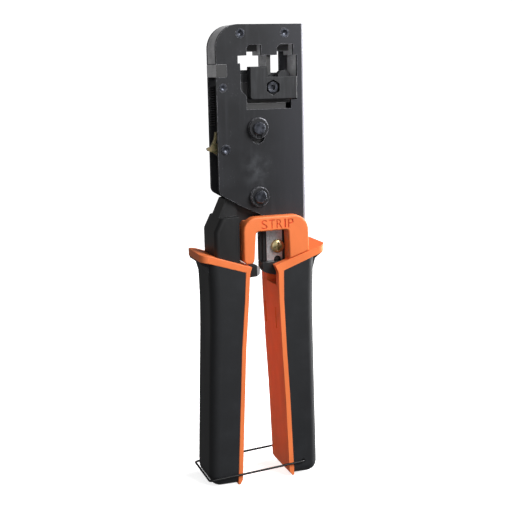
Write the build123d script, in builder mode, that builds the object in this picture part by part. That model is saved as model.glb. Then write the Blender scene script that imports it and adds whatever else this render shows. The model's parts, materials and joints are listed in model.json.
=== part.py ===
"""Ratcheting crimping tool for modular plugs, with a strip station and a wire cutter between its handles.

Every outline is drawn in x (measured from the head's centre line) and z (up from the handle ends), then
extruded along y, the depth. The front of the tool faces -Y.
"""
import os
from math import cos, radians, sin

from build123d import *

# overall layout, mm
HX = 2.0  # x of the head's centre line from the middle of the overall width
HEAD_TOP = 190.9
HALF_W = 19.3  # half the head's width
HALF_T = 6.6  # half the head's thickness
SHEET = 1.4  # folded sheet thickness
GAP = HALF_T - SHEET  # half the clear space between the two plates
TOP_R = 9.5  # rounded top left corner
BEND_R = 2.5  # outside radius of the folded edge
HALF_D = 11.0  # half the depth of a handle
RUB = 1.8  # rubber thickness on front and back

# toggle: the main pivot, the ram pin and the knee between them
PIN_X = -2.35
PIVOT_Z = 121.8
RAM_Z = 149.7
PIN_R = 2.6
REST = radians(14.0)  # half the knee's bend at rest
ARM = (RAM_Z - PIVOT_Z) / 2 / cos(REST)
KNEE = (PIN_X + ARM * sin(REST), PIVOT_Z + ARM * cos(REST))
KNEE_R = 2.2
LUG_R = 4.5  # lever's round end at the knee
BOSS_R = 7.2  # lever's round middle at the main pivot
RUN = 0.05  # running clearance of a pin in its hole
OPEN_EYE = 0.35  # clearance of the links around the ram pin
PLATE = 1.9  # half thickness of the lever, pawl and ram tongue
LINK = (2.1, 4.1)  # depth band of each link
LINK_W = 3.4  # half the links' width between their eyes

# pawl and ratchet
PAWL = (-16.1, 141.4)
PAWL_R = 2.0
TOOTH_R = 16.0
TOOTH_H = 0.8
TOOTH_STEP = 6.0  # degrees

# plug nests, x limits
NEST_L = (-10.2, 2.3)
NEST_R = (4.1, 15.0)
NEST_TOP = 178.6
WINDOW_Z = 157.2

# rivets, stud and cross tie of the head
RIVET_X = (-9.0, 9.8)
RIVET_Z = 187.3
RIVET_R = 1.9
RIVET_OUT = 6.75  # end of a rivet, from the middle plane
STUD = (-16.65, 166.1)
STUD_R = 1.6
TIE_X = -14.9  # inner side of the cross tie
TIE_Z = (170.2, 175.3)

# blade and die screws
BLADE_SCREW = (5.66, 100.35)
DIE_SCREW = (4.3, 165.8)
SHANK_R = (1.25, 1.5)  # blade screw, die screw

# latch wire
WIRE_R = 0.45
WIRE_PIVOT = (13.9, 6.65)
WIRE_END = (-28.4, 3.8)
WIRE_Y = 11.75


def front(y):
    """Plane facing -Y at depth y, with local x along x and local y along z."""
    return Plane(origin=(HX, y, 0), x_dir=(1, 0, 0), z_dir=(0, -1, 0))


def prism(points, y0, y1, mode=Mode.ADD):
    """Closed outline extruded from depth y0 to y1."""
    with BuildSketch(front(y1)) as outline:
        with BuildLine():
            Polyline(*points, close=True)
        make_face()
    extrude(outline.sketch, amount=y1 - y0, mode=mode)


def rod(x, z, r, y0, y1, mode=Mode.ADD):
    """Round bar along y from depth y0 to y1."""
    with BuildSketch(front(y1)) as outline:
        with Locations((x, z)):
            Circle(r)
    extrude(outline.sketch, amount=y1 - y0, mode=mode)


def box(x0, x1, y0, y1, z0, z1, mode=Mode.ADD):
    """Box given by its limits on each axis."""
    prism([(x0, z0), (x1, z0), (x1, z1), (x0, z1)], y0, y1, mode)


def curved(straight, bent, y0, y1, mode=Mode.ADD):
    """Outline of a polyline closed by a smooth curve through the bent points."""
    with BuildSketch(front(y1)) as outline:
        with BuildLine():
            Polyline(*straight)
            leaving = Vector(*bent[1]) - Vector(*bent[0])
            arriving = Vector(*bent[-1]) - Vector(*bent[-2])
            Spline(*bent, tangents=[leaving, arriving])
        make_face()
    extrude(outline.sketch, amount=y1 - y0, mode=mode)


def near(edges, x, z, reach):
    """Edges along y whose x, z lie within reach of a point."""
    found = []
    for e in edges.filter_by(Axis.Y):
        c = e.center()
        if abs(c.X - HX - x) < reach and abs(c.Z - z) < reach:
            found.append(e)
    return found


os.makedirs("parts", exist_ok=True)

# ---------------------------------------------------------------- head
SHELL_CORNER = (-HALF_W, 123.7)
HEAD_OUTLINE = [
    (-HALF_W, HEAD_TOP), (HALF_W, HEAD_TOP), (HALF_W, 110.5), (16.2, 110.5), (16.2, 60.0), (10.0, 60.0),
    (10.0, 112.9), (1.08, 112.9), (-10.7, 118.6), SHELL_CORNER,
]
FRONT_WINDOW = [
    (-10.2, NEST_TOP), (-6.5, NEST_TOP), (-6.5, 181.5), (-5.5, 182.75), (-0.2, 182.75), (-0.2, NEST_TOP),
    (6.4, NEST_TOP), (6.4, 181.5), (7.8, 182.95), (13.4, 182.95), (13.4, NEST_TOP), (15.0, NEST_TOP),
    (15.0, 160.8), (12.3, 160.8), (12.3, WINDOW_Z), (-6.84, WINDOW_Z), (-6.84, 162.5), (-9.2, 165.0),
    (-9.2, 175.6), (-10.2, 175.6),
]
BACK_WINDOW = [(-8.5, 166.0), (11.6, 166.0), (11.6, 180.2), (-8.5, 180.2)]
SLOT_LOW, SLOT_HIGH, SLOT_R = 146.2, 150.6, 2.9

with BuildPart() as head_shell:
    prism(HEAD_OUTLINE, -HALF_T, HALF_T)
    fillet(head_shell.faces().filter_by(Axis.X).sort_by(Axis.X)[-1].edges().filter_by(Axis.Z), BEND_R)
    fillet(near(head_shell.edges(), -HALF_W, HEAD_TOP, 1), TOP_R)
    fillet(near(head_shell.edges(), *SHELL_CORNER, 0.6), 3.0)
    box(-25, HALF_W - SHEET, -GAP, GAP, 50, 200, Mode.SUBTRACT)
    prism(FRONT_WINDOW, -HALF_T - 1, -GAP + 0.1, Mode.SUBTRACT)
    prism(BACK_WINDOW, GAP - 0.1, HALF_T + 1, Mode.SUBTRACT)
    box(-25, TIE_X, -10, 10, *TIE_Z, Mode.SUBTRACT)
    with BuildSketch(front(10)):
        with Locations((PIN_X, (SLOT_LOW + SLOT_HIGH) / 2)):
            SlotCenterToCenter(SLOT_HIGH - SLOT_LOW, 2 * SLOT_R, rotation=90)
    extrude(amount=20, mode=Mode.SUBTRACT)
    rod(PIN_X, PIVOT_Z, PIN_R, -10, 10, Mode.SUBTRACT)
    rod(*PAWL, PAWL_R, -10, 10, Mode.SUBTRACT)
    rod(*STUD, STUD_R, -10, 0, Mode.SUBTRACT)
    for x in RIVET_X:
        rod(x, RIVET_Z, RIVET_R, -10, 10, Mode.SUBTRACT)

CORE = [
    (-HALF_W, HEAD_TOP), (HALF_W - SHEET, HEAD_TOP), (HALF_W - SHEET, 163.0), (NEST_R[1], 163.0),
    (NEST_R[1], NEST_TOP), (NEST_R[0], NEST_TOP), (NEST_R[0], 171.0), (NEST_L[1], 171.0),
    (NEST_L[1], NEST_TOP), (NEST_L[0], NEST_TOP), (NEST_L[0], 175.5), (-HALF_W, 175.5),
]
with BuildPart() as jaw_core:
    prism(CORE, -GAP, GAP)
    fillet(near(jaw_core.edges(), -HALF_W, HEAD_TOP, 1), TOP_R)
    for x0, x1 in ((-6.5, -0.2), (6.4, 13.4)):
        box(x0, x1, -GAP - 1, GAP + 1, NEST_TOP - 1, 180.2, Mode.SUBTRACT)
        box(x0, x1, -GAP - 1, -1.2, NEST_TOP - 1, 182.9, Mode.SUBTRACT)
    for x in RIVET_X:
        rod(x, RIVET_Z, RIVET_R, -10, 10, Mode.SUBTRACT)

with BuildPart() as cross_tie:
    box(-19.4, TIE_X, -HALF_T, HALF_T, *TIE_Z)
    fillet(cross_tie.edges().filter_by(Axis.Y), 0.4)

with BuildPart() as jaw_rivets:
    for x in RIVET_X:
        rod(x, RIVET_Z, RIVET_R, -RIVET_OUT, RIVET_OUT)
        rod(x, RIVET_Z, 0.8, -7.0, -6.35, Mode.SUBTRACT)

with BuildPart() as stop_stud:
    rod(*STUD, STUD_R, -RIVET_OUT, -3.6)

with BuildPart() as pawl_pin:
    rod(*PAWL, PAWL_R, -7.0, 7.0)
    rod(*PAWL, 0.9, -7.5, -6.7, Mode.SUBTRACT)

PIN_OUT = 9.2
CLIP = (7.5, 8.3)


def pin_with_groove(x, z):
    """Pin through both plates, grooved near each end for its retaining ring."""
    rod(x, z, PIN_R, -PIN_OUT, PIN_OUT)
    for y in (-1, 1):
        y0, y1 = sorted((y * CLIP[0], y * CLIP[1]))
        with BuildSketch(front(y1)) as groove:
            with Locations((x, z)):
                Circle(PIN_R + 1)
                Circle(PIN_R - 0.4, mode=Mode.SUBTRACT)
        extrude(groove.sketch, amount=y1 - y0, mode=Mode.SUBTRACT)


def ring_pair(x, z, face, out):
    """Washer against each plate with a retaining ring in the pin's groove."""
    for y in (-1, 1):
        y0, y1 = sorted((y * face, y * CLIP[0]))
        with BuildSketch(front(y1)) as washer:
            with Locations((x, z)):
                Circle(out)
                Circle(PIN_R, mode=Mode.SUBTRACT)
        extrude(washer.sketch, amount=y1 - y0)
        y0, y1 = sorted((y * CLIP[0], y * CLIP[1]))
        with BuildSketch(front(y1)) as ring:
            with Locations((x, z)):
                Circle(out - 0.3)
                Circle(PIN_R - 0.4, mode=Mode.SUBTRACT)
            with Locations((x, z - out)):
                Rectangle(2.4, 2 * (out - PIN_R), mode=Mode.SUBTRACT)
        extrude(ring.sketch, amount=y1 - y0)


with BuildPart() as pivot_pin:
    pin_with_groove(PIN_X, PIVOT_Z)

with BuildPart() as pivot_rings:
    ring_pair(PIN_X, PIVOT_Z, HALF_T, 4.1)

# ---------------------------------------------------------------- ram and dies
DIE_LOW = 161.1
with BuildPart() as ram:
    box(-6.6, 10.4, -GAP + 0.1, GAP - 0.1, 154.9, 159.6)
    box(-8.6, 14.4, -3.2, GAP - 0.1, 159.6, 168.0)
    box(PIN_X - 3.3, PIN_X + 3.3, -PLATE, PLATE, RAM_Z, 155.2)
    rod(PIN_X, RAM_Z, 3.9, -PLATE, PLATE)
    rod(PIN_X, RAM_Z, PIN_R, -5, 5, Mode.SUBTRACT)
    rod(*DIE_SCREW, SHANK_R[1], -5, 3, Mode.SUBTRACT)

with BuildPart() as die_left:
    box(-8.6, 1.9, -3.2, GAP - 0.1, 168.0, 171.2)
    box(-7.6, 1.9, -2.4, 0.2, 171.2, 172.9)
    box(-7.6, 1.9, 2.0, 3.2, 171.2, 172.3)
    fillet(die_left.edges().filter_by(Axis.X).group_by(Axis.Z)[-1], 0.3)

with BuildPart() as die_right:
    box(4.6, 14.4, -3.2, GAP - 0.1, 168.0, 170.0)
    box(5.2, 13.8, 2.0, 3.2, 170.0, 171.6)
    rod(10.6, 170.0, 2.6, -3.2, 0.6)
    box(7.8, 13.4, -4, 1, 166.0, 168.0, Mode.SUBTRACT)

DIE_PLATE = [(-5.4, 174.2), (2.0, 174.2), (2.0, 170.1), (14.6, 170.1), (14.6, DIE_LOW), (-5.4, DIE_LOW)]
with BuildPart() as die_plate:
    prism(DIE_PLATE, -7.4, -3.2)
    fillet(near(die_plate.edges(), -5.4, DIE_LOW, 0.5), 1.2)
    box(11.9, 20, -HALF_T - 0.1, 0, 150, 180, Mode.SUBTRACT)
    chamfer(die_plate.faces().sort_by(Axis.Y)[0].edges(), 0.25)
    with BuildSketch(front(-5.2)):
        with Locations(DIE_SCREW):
            RegularPolygon(3.2, 6, rotation=90)
    extrude(amount=4, mode=Mode.SUBTRACT)
    rod(*DIE_SCREW, SHANK_R[1], -6, 0, Mode.SUBTRACT)

with BuildPart() as die_screw:
    rod(*DIE_SCREW, 2.3, -6.9, -5.2)
    rod(*DIE_SCREW, SHANK_R[1], -5.2, 3.0)
    with BuildSketch(front(-6.0)):
        with Locations(DIE_SCREW):
            RegularPolygon(1.25, 6)
    extrude(amount=2, mode=Mode.SUBTRACT)

with BuildPart() as ram_pin:
    pin_with_groove(PIN_X, RAM_Z)

with BuildPart() as ram_rings:
    ring_pair(PIN_X, RAM_Z, HALF_T + 0.1, 4.3)

with BuildPart() as toggle_links:
    for y0, y1 in (LINK, (-LINK[1], -LINK[0])):
        with BuildSketch(front(y1)):
            with Locations(KNEE, (PIN_X, RAM_Z)):
                Circle(4.3)
            with BuildLine():
                dx, dz = LINK_W * cos(REST), LINK_W * sin(REST)
                Polyline(
                    (KNEE[0] - dx, KNEE[1] - dz), (PIN_X - dx, RAM_Z - dz), (PIN_X + dx, RAM_Z + dz),
                    (KNEE[0] + dx, KNEE[1] + dz), close=True)
            make_face()
            with Locations(KNEE):
                Circle(KNEE_R + RUN, mode=Mode.SUBTRACT)
            with Locations((PIN_X, RAM_Z)):
                Circle(PIN_R + OPEN_EYE, mode=Mode.SUBTRACT)
        extrude(amount=y1 - y0)

with BuildPart() as knee_pin:
    rod(*KNEE, KNEE_R, -4.9, 4.9)

# ---------------------------------------------------------------- moving lever, pawl and spring
TANG = [
    (-9.0, 127.5), (-14.6, 120.0), (-19.6, 110.0), (-20.6, 104.0), (-20.6, 45.0), (-15.0, 45.0),
    (-15.0, 100.0), (-13.6, 104.5), (-4.0, 114.9), (PIN_X, PIVOT_Z),
]


def polar(r, degrees):
    """Point at a radius and angle around the main pivot."""
    return PIN_X + r * cos(radians(degrees)), PIVOT_Z + r * sin(radians(degrees))


teeth = [(PIN_X, PIVOT_Z)]
for i in range(10):
    start = 99.0 + TOOTH_STEP * i
    teeth += [polar(TOOTH_R, start), polar(TOOTH_R - TOOTH_H, start + TOOTH_STEP - 0.5)]

with BuildPart() as lever:
    prism(TANG, -PLATE, PLATE)
    prism(teeth, -PLATE, PLATE)
    rod(PIN_X, PIVOT_Z, BOSS_R, -PLATE, PLATE)
    rod(*KNEE, LUG_R, -PLATE, PLATE)
    dx, dz = LUG_R * cos(REST), LUG_R * sin(REST)
    prism(
        [(KNEE[0] - dx, KNEE[1] + dz), (KNEE[0] + dx, KNEE[1] - dz), (PIN_X + dx, PIVOT_Z - dz),
         (PIN_X - dx, PIVOT_Z + dz)], -PLATE, PLATE)
    rod(PIN_X, PIVOT_Z, PIN_R + RUN, -5, 5, Mode.SUBTRACT)
    rod(*KNEE, KNEE_R, -5, 5, Mode.SUBTRACT)

reach = ((PAWL[0] - PIN_X) ** 2 + (PAWL[1] - PIVOT_Z) ** 2) ** 0.5
ux, uz = (PIN_X - PAWL[0]) / reach, (PIVOT_Z - PAWL[1]) / reach
tip = reach - TOOTH_R - 0.35
with BuildPart() as pawl:
    rod(*PAWL, 3.4, -1.7, 1.7)
    prism(
        [(PAWL[0] - 3.0 * uz, PAWL[1] + 3.0 * ux), (PAWL[0] + 3.0 * uz, PAWL[1] - 3.0 * ux),
         (PAWL[0] + tip * ux + 0.5 * uz, PAWL[1] + tip * uz - 0.5 * ux),
         (PAWL[0] + tip * ux - 0.5 * uz, PAWL[1] + tip * uz + 0.5 * ux)], -1.7, 1.7)
    rod(*PAWL, PAWL_R + RUN, -5, 5, Mode.SUBTRACT)

with BuildPart() as release_lever:
    rod(*PAWL, 3.3, -3.2, -1.7)
    prism(
        [(-16.1, 144.6), (-18.6, 143.9), (-20.6, 143.1), (-23.1, 142.0), (-22.7, 141.1), (-20.2, 140.2),
         (-17.4, 138.4), (-16.1, 138.2)], -3.2, -1.7)
    curved(
        [(-21.5, 142.6), (-19.8, 142.9)],
        [(-19.8, 142.9), (-18.8, 145.1), (-18.2, 147.0), (-16.6, 147.2), (-16.6, 148.4), (-18.9, 148.4),
         (-19.7, 146.0), (-21.5, 142.6)], -3.2, -1.7)
    box(-18.4, -16.6, -1.75, 1.6, 147.3, 148.3)
    rod(*PAWL, PAWL_R + RUN, -5, 5, Mode.SUBTRACT)

SPRING_X, SPRING_Y, SPRING_R, SPRING_WIRE = -18.4, 1.0, 1.5, 0.29
COIL_Z, COIL_H = 150.6, 16.15
with BuildPart() as pawl_spring:
    with BuildLine():
        coil = Helix(pitch=0.95, height=COIL_H, radius=SPRING_R, center=(HX + SPRING_X, SPRING_Y, COIL_Z))
    with BuildSketch(Plane(origin=coil @ 0, z_dir=coil % 0)):
        Circle(SPRING_WIRE)
    sweep(path=coil, is_frenet=True)
    for low, high in ((148.3, COIL_Z + 0.15), (COIL_Z + COIL_H - 0.15, 170.2)):
        with BuildSketch(Plane.XY.offset(low)):
            with Locations((HX + SPRING_X + SPRING_R, SPRING_Y)):
                Circle(SPRING_WIRE)
        extrude(amount=high - low)

# ---------------------------------------------------------------- moving handle
M_OUTER = [(-26.4, 106.0), (-25.7, 96.0), (-25.2, 85.0), (-26.0, 50.0), (-27.6, 8.0)]
M_CORE_OUTER = [(-23.8, 95.4), (-23.3, 85.0), (-23.9, 50.0), (-25.4, 8.0)]
M_SEAM = [(-10.25, 91.25), (-10.9, 80.0), (-12.7, 58.7), (-13.7, 37.1), (-14.95, 15.2), (-15.7, 0.0)]
M_INNER = [
    (-8.3, 90.6), (-9.0, 79.8), (-10.7, 58.7), (-11.7, 37.1), (-12.9, 15.2), (-13.6, 2.0), (-14.7, 0.0),
]
M_UNDER = [(-10.25, 91.25), (-25.8, 96.2), (-29.2, 96.8)]
M_TOP = [(-29.2, 100.0), (-25.7, 99.4), (-7.4, 93.3)]
TIP_R = 3.5  # corners of a guard's outer end

with BuildPart() as moving_grip:
    curved([M_OUTER[-1], (-27.6, 0.0), M_SEAM[-1], (-8.0, 106.0), M_OUTER[0]], M_OUTER, -HALF_D, HALF_D)
    fillet(near(moving_grip.edges(), -27.6, 0.0, 0.5), 5.0)
    fillet([e for e in moving_grip.edges() if e.length > 60 and e.center().X - HX < -20], 4.0)
    prism(M_SEAM + [(5.0, 0.0), (5.0, 110.0), (-10.25, 110.0)], -12, 12, Mode.SUBTRACT)
    prism(
        [(-28.7, 98.0), (-28.7, 96.0), (-26.2, 94.2), (-25.0, 90.0), (-24.0, 90.0), (-24.0, 98.0)],
        -8.5, 8.5)
    prism(M_UNDER + [(-35.0, 97.8), (-35.0, 120.0), (-10.25, 120.0)], -12, 12, Mode.SUBTRACT)
    curved(
        [M_CORE_OUTER[-1], (-25.4, 4.0), (0, 4.0), (0, 87.82), M_CORE_OUTER[0]], M_CORE_OUTER,
        -HALF_D + RUB, HALF_D - RUB, Mode.SUBTRACT)
    prism(TANG, -PLATE, PLATE, Mode.SUBTRACT)

with BuildPart() as moving_shell:
    prism(M_TOP + [(-8.3, 90.6)] + M_UNDER, -HALF_D, HALF_D)
    fillet([e for e in moving_shell.edges() if e.center().X - HX < -29 and e.length < 3.5], TIP_R)
    prism(M_SEAM + M_INNER[::-1], -HALF_D, HALF_D)
    along_seam = M_SEAM[4:0:-1] + [(-10.26, 91.08)]
    curved(
        [M_CORE_OUTER[-1], (-25.4, 4.0), (M_SEAM[4][0], 4.0)] + along_seam + [M_CORE_OUTER[0]],
        M_CORE_OUTER, -HALF_D + RUB, HALF_D - RUB)
    prism(TANG, -PLATE, PLATE, Mode.SUBTRACT)

NECK_R = -12.0
with BuildPart() as neck:
    prism(
        [(-22.4, 98.3), (-22.4, 108.5), (-19.7, 113.9), (NECK_R, 114.2), (NECK_R, 94.9)], -9.2, 9.2)
    fillet(
        [e for e in neck.edges() if e.center().X - HX < -19 and abs(e.center().Y) > 9 and e.length > 4], 2.2)
    shoulder = NECK_R + 0.4
    prism([(-20.2, 112.6), (-16.2, 121.2), (-14.0, 121.2), (shoulder, 118.0), (shoulder, 112.6)], -4.9, 4.9)
    prism(
        [(NECK_R, 121.0), (-6.0, 117.5), (-4.6, 115.2), (2.0, 115.0), (2.0, 111.8), (-5.5, 110.5),
         (NECK_R, 104.0)], -3.3, 3.3)
    prism(TANG, -PLATE, PLATE, Mode.SUBTRACT)
    prism(teeth, -PLATE, PLATE, Mode.SUBTRACT)
    rod(PIN_X, PIVOT_Z, BOSS_R, -PLATE, PLATE, Mode.SUBTRACT)

with BuildPart() as cutter_nub:
    prism([(-7.4, 93.3), (-4.2, 93.2), (-4.2, 88.6), (-8.449, 88.3), (-8.3, 90.6)], -7.5, -1.5)

with BuildPart() as cutter_blade:
    prism([(-4.2, 93.2), (-3.0, 92.6), (-2.7, 91.0), (-3.0, 89.2), (-4.2, 88.6)], -7.0, -2.0)

# ---------------------------------------------------------------- fixed handle
F_OUTER = [(21.0, 104.0), (20.6, 94.5), (20.2, 84.0), (20.2, 55.0), (20.9, 9.0)]
F_CORE_OUTER = [(18.6, 94.6), (18.1, 84.0), (18.1, 55.0), (18.8, 9.0)]
F_SEAM = [(6.3, 90.9), (6.2, 78.6), (7.1, 56.9), (8.3, 34.8), (9.2, 12.3), (9.6, 0.7)]
F_INNER = [(4.0, 90.3), (4.2, 78.6), (5.1, 56.9), (6.3, 34.8), (7.1, 12.3), (7.5, 2.6), (8.7, 0.7)]
F_UNDER = [(6.3, 90.9), (25.2, 97.9)]
F_TOP = [(25.2, 100.9), (2.6, 93.3)]

with BuildPart() as fixed_grip:
    curved([F_OUTER[-1], (20.9, 0.7), F_SEAM[-1], (3.0, 104.0), F_OUTER[0]], F_OUTER, -HALF_D, HALF_D)
    fillet(near(fixed_grip.edges(), 20.9, 0.7, 0.5), 4.5)
    fillet([e for e in fixed_grip.edges() if e.length > 60 and e.center().X - HX > 17], 4.0)
    prism(F_SEAM + [(-5.0, 0.7), (-5.0, 110.0), (6.3, 110.0)], -12, 12, Mode.SUBTRACT)
    prism([(24.7, 98.5), (24.7, 97.0), (21.3, 94.6), (20.0, 90.0), (19.0, 90.0), (19.0, 98.5)], -8.5, 8.5)
    prism(F_UNDER + [(40.0, 103.4), (40.0, 120.0), (6.3, 120.0)], -12, 12, Mode.SUBTRACT)
    curved(
        [F_CORE_OUTER[-1], (18.8, 5.0), (-5, 5.0), (-5, 86.04), F_CORE_OUTER[0]], F_CORE_OUTER,
        -HALF_D + RUB, HALF_D - RUB, Mode.SUBTRACT)
    box(0, 8.3, -7.6, 4.5, 84.2, 94.2, Mode.SUBTRACT)
    for y0 in (-HALF_T, GAP):
        box(10.0, 16.2, y0, y0 + SHEET, 60, 120, Mode.SUBTRACT)
    for y in (-10, 10):
        rod(*WIRE_PIVOT, 0.8, y - 2, y + 2, Mode.SUBTRACT)

with BuildPart() as fixed_shell:
    prism(F_TOP + [(4.0, 90.3)] + F_UNDER, -HALF_D, HALF_D)
    fillet([e for e in fixed_shell.edges() if e.center().X - HX > 25 and e.length < 3.5], TIP_R)
    prism(F_SEAM + F_INNER[::-1], -HALF_D, HALF_D)
    along_seam = F_SEAM[4:0:-1] + [(6.29, 90.13)]
    curved(
        [F_CORE_OUTER[-1], (18.8, 5.0), (F_SEAM[4][0], 5.0)] + along_seam + [F_CORE_OUTER[0]],
        F_CORE_OUTER, -HALF_D + RUB, HALF_D - RUB)
    box(9.2, 17.6, -GAP, 9.2, 95.0, 109.8)
    for y0 in (-HALF_T, GAP):
        box(10.0, 16.2, y0, y0 + SHEET, 60, 120, Mode.SUBTRACT)
    box(0, 8.3, -7.6, 4.5, 84.2, 94.2, Mode.SUBTRACT)
    box(0, 9.2, -7.6, -1.0, 93.0, 97.0, Mode.SUBTRACT)
    for y in (-5.0, 8.1):
        box(0, 8.4, y - 0.8, y + 0.8, 64.8, 74.3, Mode.SUBTRACT)
    for y in (-10, 10):
        rod(*WIRE_PIVOT, 0.55, y - 2.5, y + 2.5, Mode.SUBTRACT)

# ---------------------------------------------------------------- strip station and cutter anvil
GUIDE = [
    (-10.75, 94.6), (-10.75, 113.8), (17.4, 113.8), (17.7, 98.6), (9.1, 95.7), (8.7, 108.0), (-5.4, 107.8),
    (-6.3, 94.6),
]
with BuildPart() as strip_guide:
    prism(GUIDE, -HALF_D, -3.5)
    fillet(near(strip_guide.edges(), *GUIDE[1], 0.5), 6.0)
    fillet(near(strip_guide.edges(), *GUIDE[2], 0.5), 6.5)
    fillet(near(strip_guide.edges(), *GUIDE[0], 0.5) + near(strip_guide.edges(), *GUIDE[7], 0.5), 1.9)
    fillet(near(strip_guide.edges(), *GUIDE[6], 0.5) + near(strip_guide.edges(), *GUIDE[5], 0.5), 1.4)
    fillet(strip_guide.faces().sort_by(Axis.Y)[0].edges(), 0.7)
    box(9.2, 20, -HALF_T, 0, 60, 120, Mode.SUBTRACT)
    box(-1.8, 20, -4.95, 0, 60, 120, Mode.SUBTRACT)
    box(PIN_X - 9, 20, -HALF_T, 0, 112.0, 120, Mode.SUBTRACT)
    with BuildSketch(Plane(origin=(HX - 11.5, -7.3, 101.0), x_dir=(0, 1, 0), z_dir=(1, 0, 0))):
        Rectangle(1.2, 2.6)
    extrude(amount=2.0, mode=Mode.SUBTRACT)

with BuildPart() as blade_block:
    box(-0.4, 9.2, -4.3, -1.0, 94.3, 109.6)
    box(-1.6, -0.4, -3.6, -1.0, 94.3, 109.6)
    box(3.4, 9.2, -1.0, 3.4, 95.5, 109.6)
    rod(*BLADE_SCREW, SHANK_R[0], -5, 3, Mode.SUBTRACT)

with BuildPart() as strip_blade:
    box(1.0, 7.9, -4.9, -4.3, 94.3, 109.2)
    rod(5.1, 108.6, 1.5, -6, -4, Mode.SUBTRACT)
    rod(5.7, 94.6, 1.6, -6, -4, Mode.SUBTRACT)
    rod(*BLADE_SCREW, SHANK_R[0], -6, -4, Mode.SUBTRACT)

with BuildPart() as blade_screw:
    rod(*BLADE_SCREW, 2.8, -6.6, -4.9)
    fillet(blade_screw.faces().sort_by(Axis.Y)[0].edges(), 1.0)
    rod(*BLADE_SCREW, SHANK_R[0], -4.9, 3.0)
    for w, h in ((2.6, 0.6), (0.6, 2.6)):
        x, z = BLADE_SCREW
        box(x - w / 2, x + w / 2, -7, -5.7, z - h / 2, z + h / 2, Mode.SUBTRACT)

with BuildPart() as cutter_anvil:
    prism([(-1.7, 94.2), (-1.7, 91.4), (-0.2, 89.7), (5.0, 88.4), (8.3, 88.4), (8.3, 94.2)], -7.5, -1.4)

# ---------------------------------------------------------------- latch wire
with BuildPart() as latch_wire:
    px, pz = WIRE_PIVOT
    ex, ez = WIRE_END
    with BuildLine(Plane(origin=(HX, 0, 0))) as path:
        FilletPolyline(
            (px, -8.4, pz), (px, -WIRE_Y, pz), (ex, -WIRE_Y, ez),
            (ex, WIRE_Y, ez), (px, WIRE_Y, pz), (px, 8.4, pz), radius=1.2)
    with BuildSketch(Plane(origin=path.line @ 0, z_dir=path.line % 0)):
        Circle(WIRE_R)
    sweep()

NODES = {
    "head_shell": head_shell, "jaw_core": jaw_core, "cross_tie": cross_tie, "jaw_rivets": jaw_rivets,
    "stop_stud": stop_stud, "pawl_pin": pawl_pin, "pivot_pin": pivot_pin, "pivot_rings": pivot_rings,
    "ram": ram, "die_left": die_left, "die_right": die_right, "die_plate": die_plate, "die_screw": die_screw,
    "ram_pin": ram_pin, "ram_rings": ram_rings, "toggle_links": toggle_links, "knee_pin": knee_pin,
    "lever": lever, "pawl": pawl, "release_lever": release_lever, "pawl_spring": pawl_spring,
    "moving_grip": moving_grip, "moving_shell": moving_shell, "neck": neck, "cutter_nub": cutter_nub,
    "cutter_blade": cutter_blade, "fixed_grip": fixed_grip, "fixed_shell": fixed_shell,
    "strip_guide": strip_guide, "blade_block": blade_block, "strip_blade": strip_blade,
    "blade_screw": blade_screw, "cutter_anvil": cutter_anvil, "latch_wire": latch_wire,
}
for name, node in NODES.items():
    node.part.label = name
    export_step(node.part, f"parts/{name}.step")
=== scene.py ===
"""Looks for a ratcheting crimping tool, laid out as a Blender add-on.

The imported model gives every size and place. Each operator finishes one group of its nodes, or works out
a finer surface in place of one, and the last operator sets the stage.
"""
import json
import math

import bmesh
import bpy
import numpy as np
from bpy.props import FloatProperty, FloatVectorProperty, IntProperty, PointerProperty, StringProperty
from mathutils import Matrix, Vector

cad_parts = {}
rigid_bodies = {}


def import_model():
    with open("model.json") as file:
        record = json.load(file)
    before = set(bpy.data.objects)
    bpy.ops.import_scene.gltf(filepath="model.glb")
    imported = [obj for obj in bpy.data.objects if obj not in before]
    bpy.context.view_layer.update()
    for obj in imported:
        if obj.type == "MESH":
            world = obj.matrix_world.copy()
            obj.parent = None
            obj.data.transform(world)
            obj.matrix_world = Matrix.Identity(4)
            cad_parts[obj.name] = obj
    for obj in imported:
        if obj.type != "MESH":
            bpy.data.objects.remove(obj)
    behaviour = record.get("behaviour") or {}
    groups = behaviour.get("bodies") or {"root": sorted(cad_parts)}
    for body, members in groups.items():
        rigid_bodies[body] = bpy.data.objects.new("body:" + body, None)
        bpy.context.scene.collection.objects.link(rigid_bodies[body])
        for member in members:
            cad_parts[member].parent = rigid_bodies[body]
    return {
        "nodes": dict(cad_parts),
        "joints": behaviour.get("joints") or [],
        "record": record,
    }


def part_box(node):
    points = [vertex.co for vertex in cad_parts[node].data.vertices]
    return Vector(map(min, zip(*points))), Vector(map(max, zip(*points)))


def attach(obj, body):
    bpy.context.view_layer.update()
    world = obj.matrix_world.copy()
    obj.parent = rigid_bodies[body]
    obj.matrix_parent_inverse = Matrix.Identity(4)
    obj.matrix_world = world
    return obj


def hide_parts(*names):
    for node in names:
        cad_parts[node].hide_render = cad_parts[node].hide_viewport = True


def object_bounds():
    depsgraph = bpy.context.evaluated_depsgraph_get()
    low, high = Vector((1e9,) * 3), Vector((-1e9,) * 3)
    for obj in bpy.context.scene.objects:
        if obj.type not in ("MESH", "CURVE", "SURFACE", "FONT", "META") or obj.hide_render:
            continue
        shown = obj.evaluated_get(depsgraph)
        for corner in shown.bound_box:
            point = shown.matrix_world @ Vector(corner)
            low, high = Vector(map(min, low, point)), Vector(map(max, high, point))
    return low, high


for leftover in list(bpy.data.objects):
    bpy.data.objects.remove(leftover)
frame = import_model()
CAD_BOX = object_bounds()

bl_info = {
    "name": "Modular Plug Crimper",
    "version": (1, 0, 0),
    "blender": (4, 5, 0),
    "location": "3D View > Sidebar > Crimper",
    "description": "Finishes a crimping tool: steel head, toggle, strip station, grips and latch wire",
    "category": "Object",
}

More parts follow.
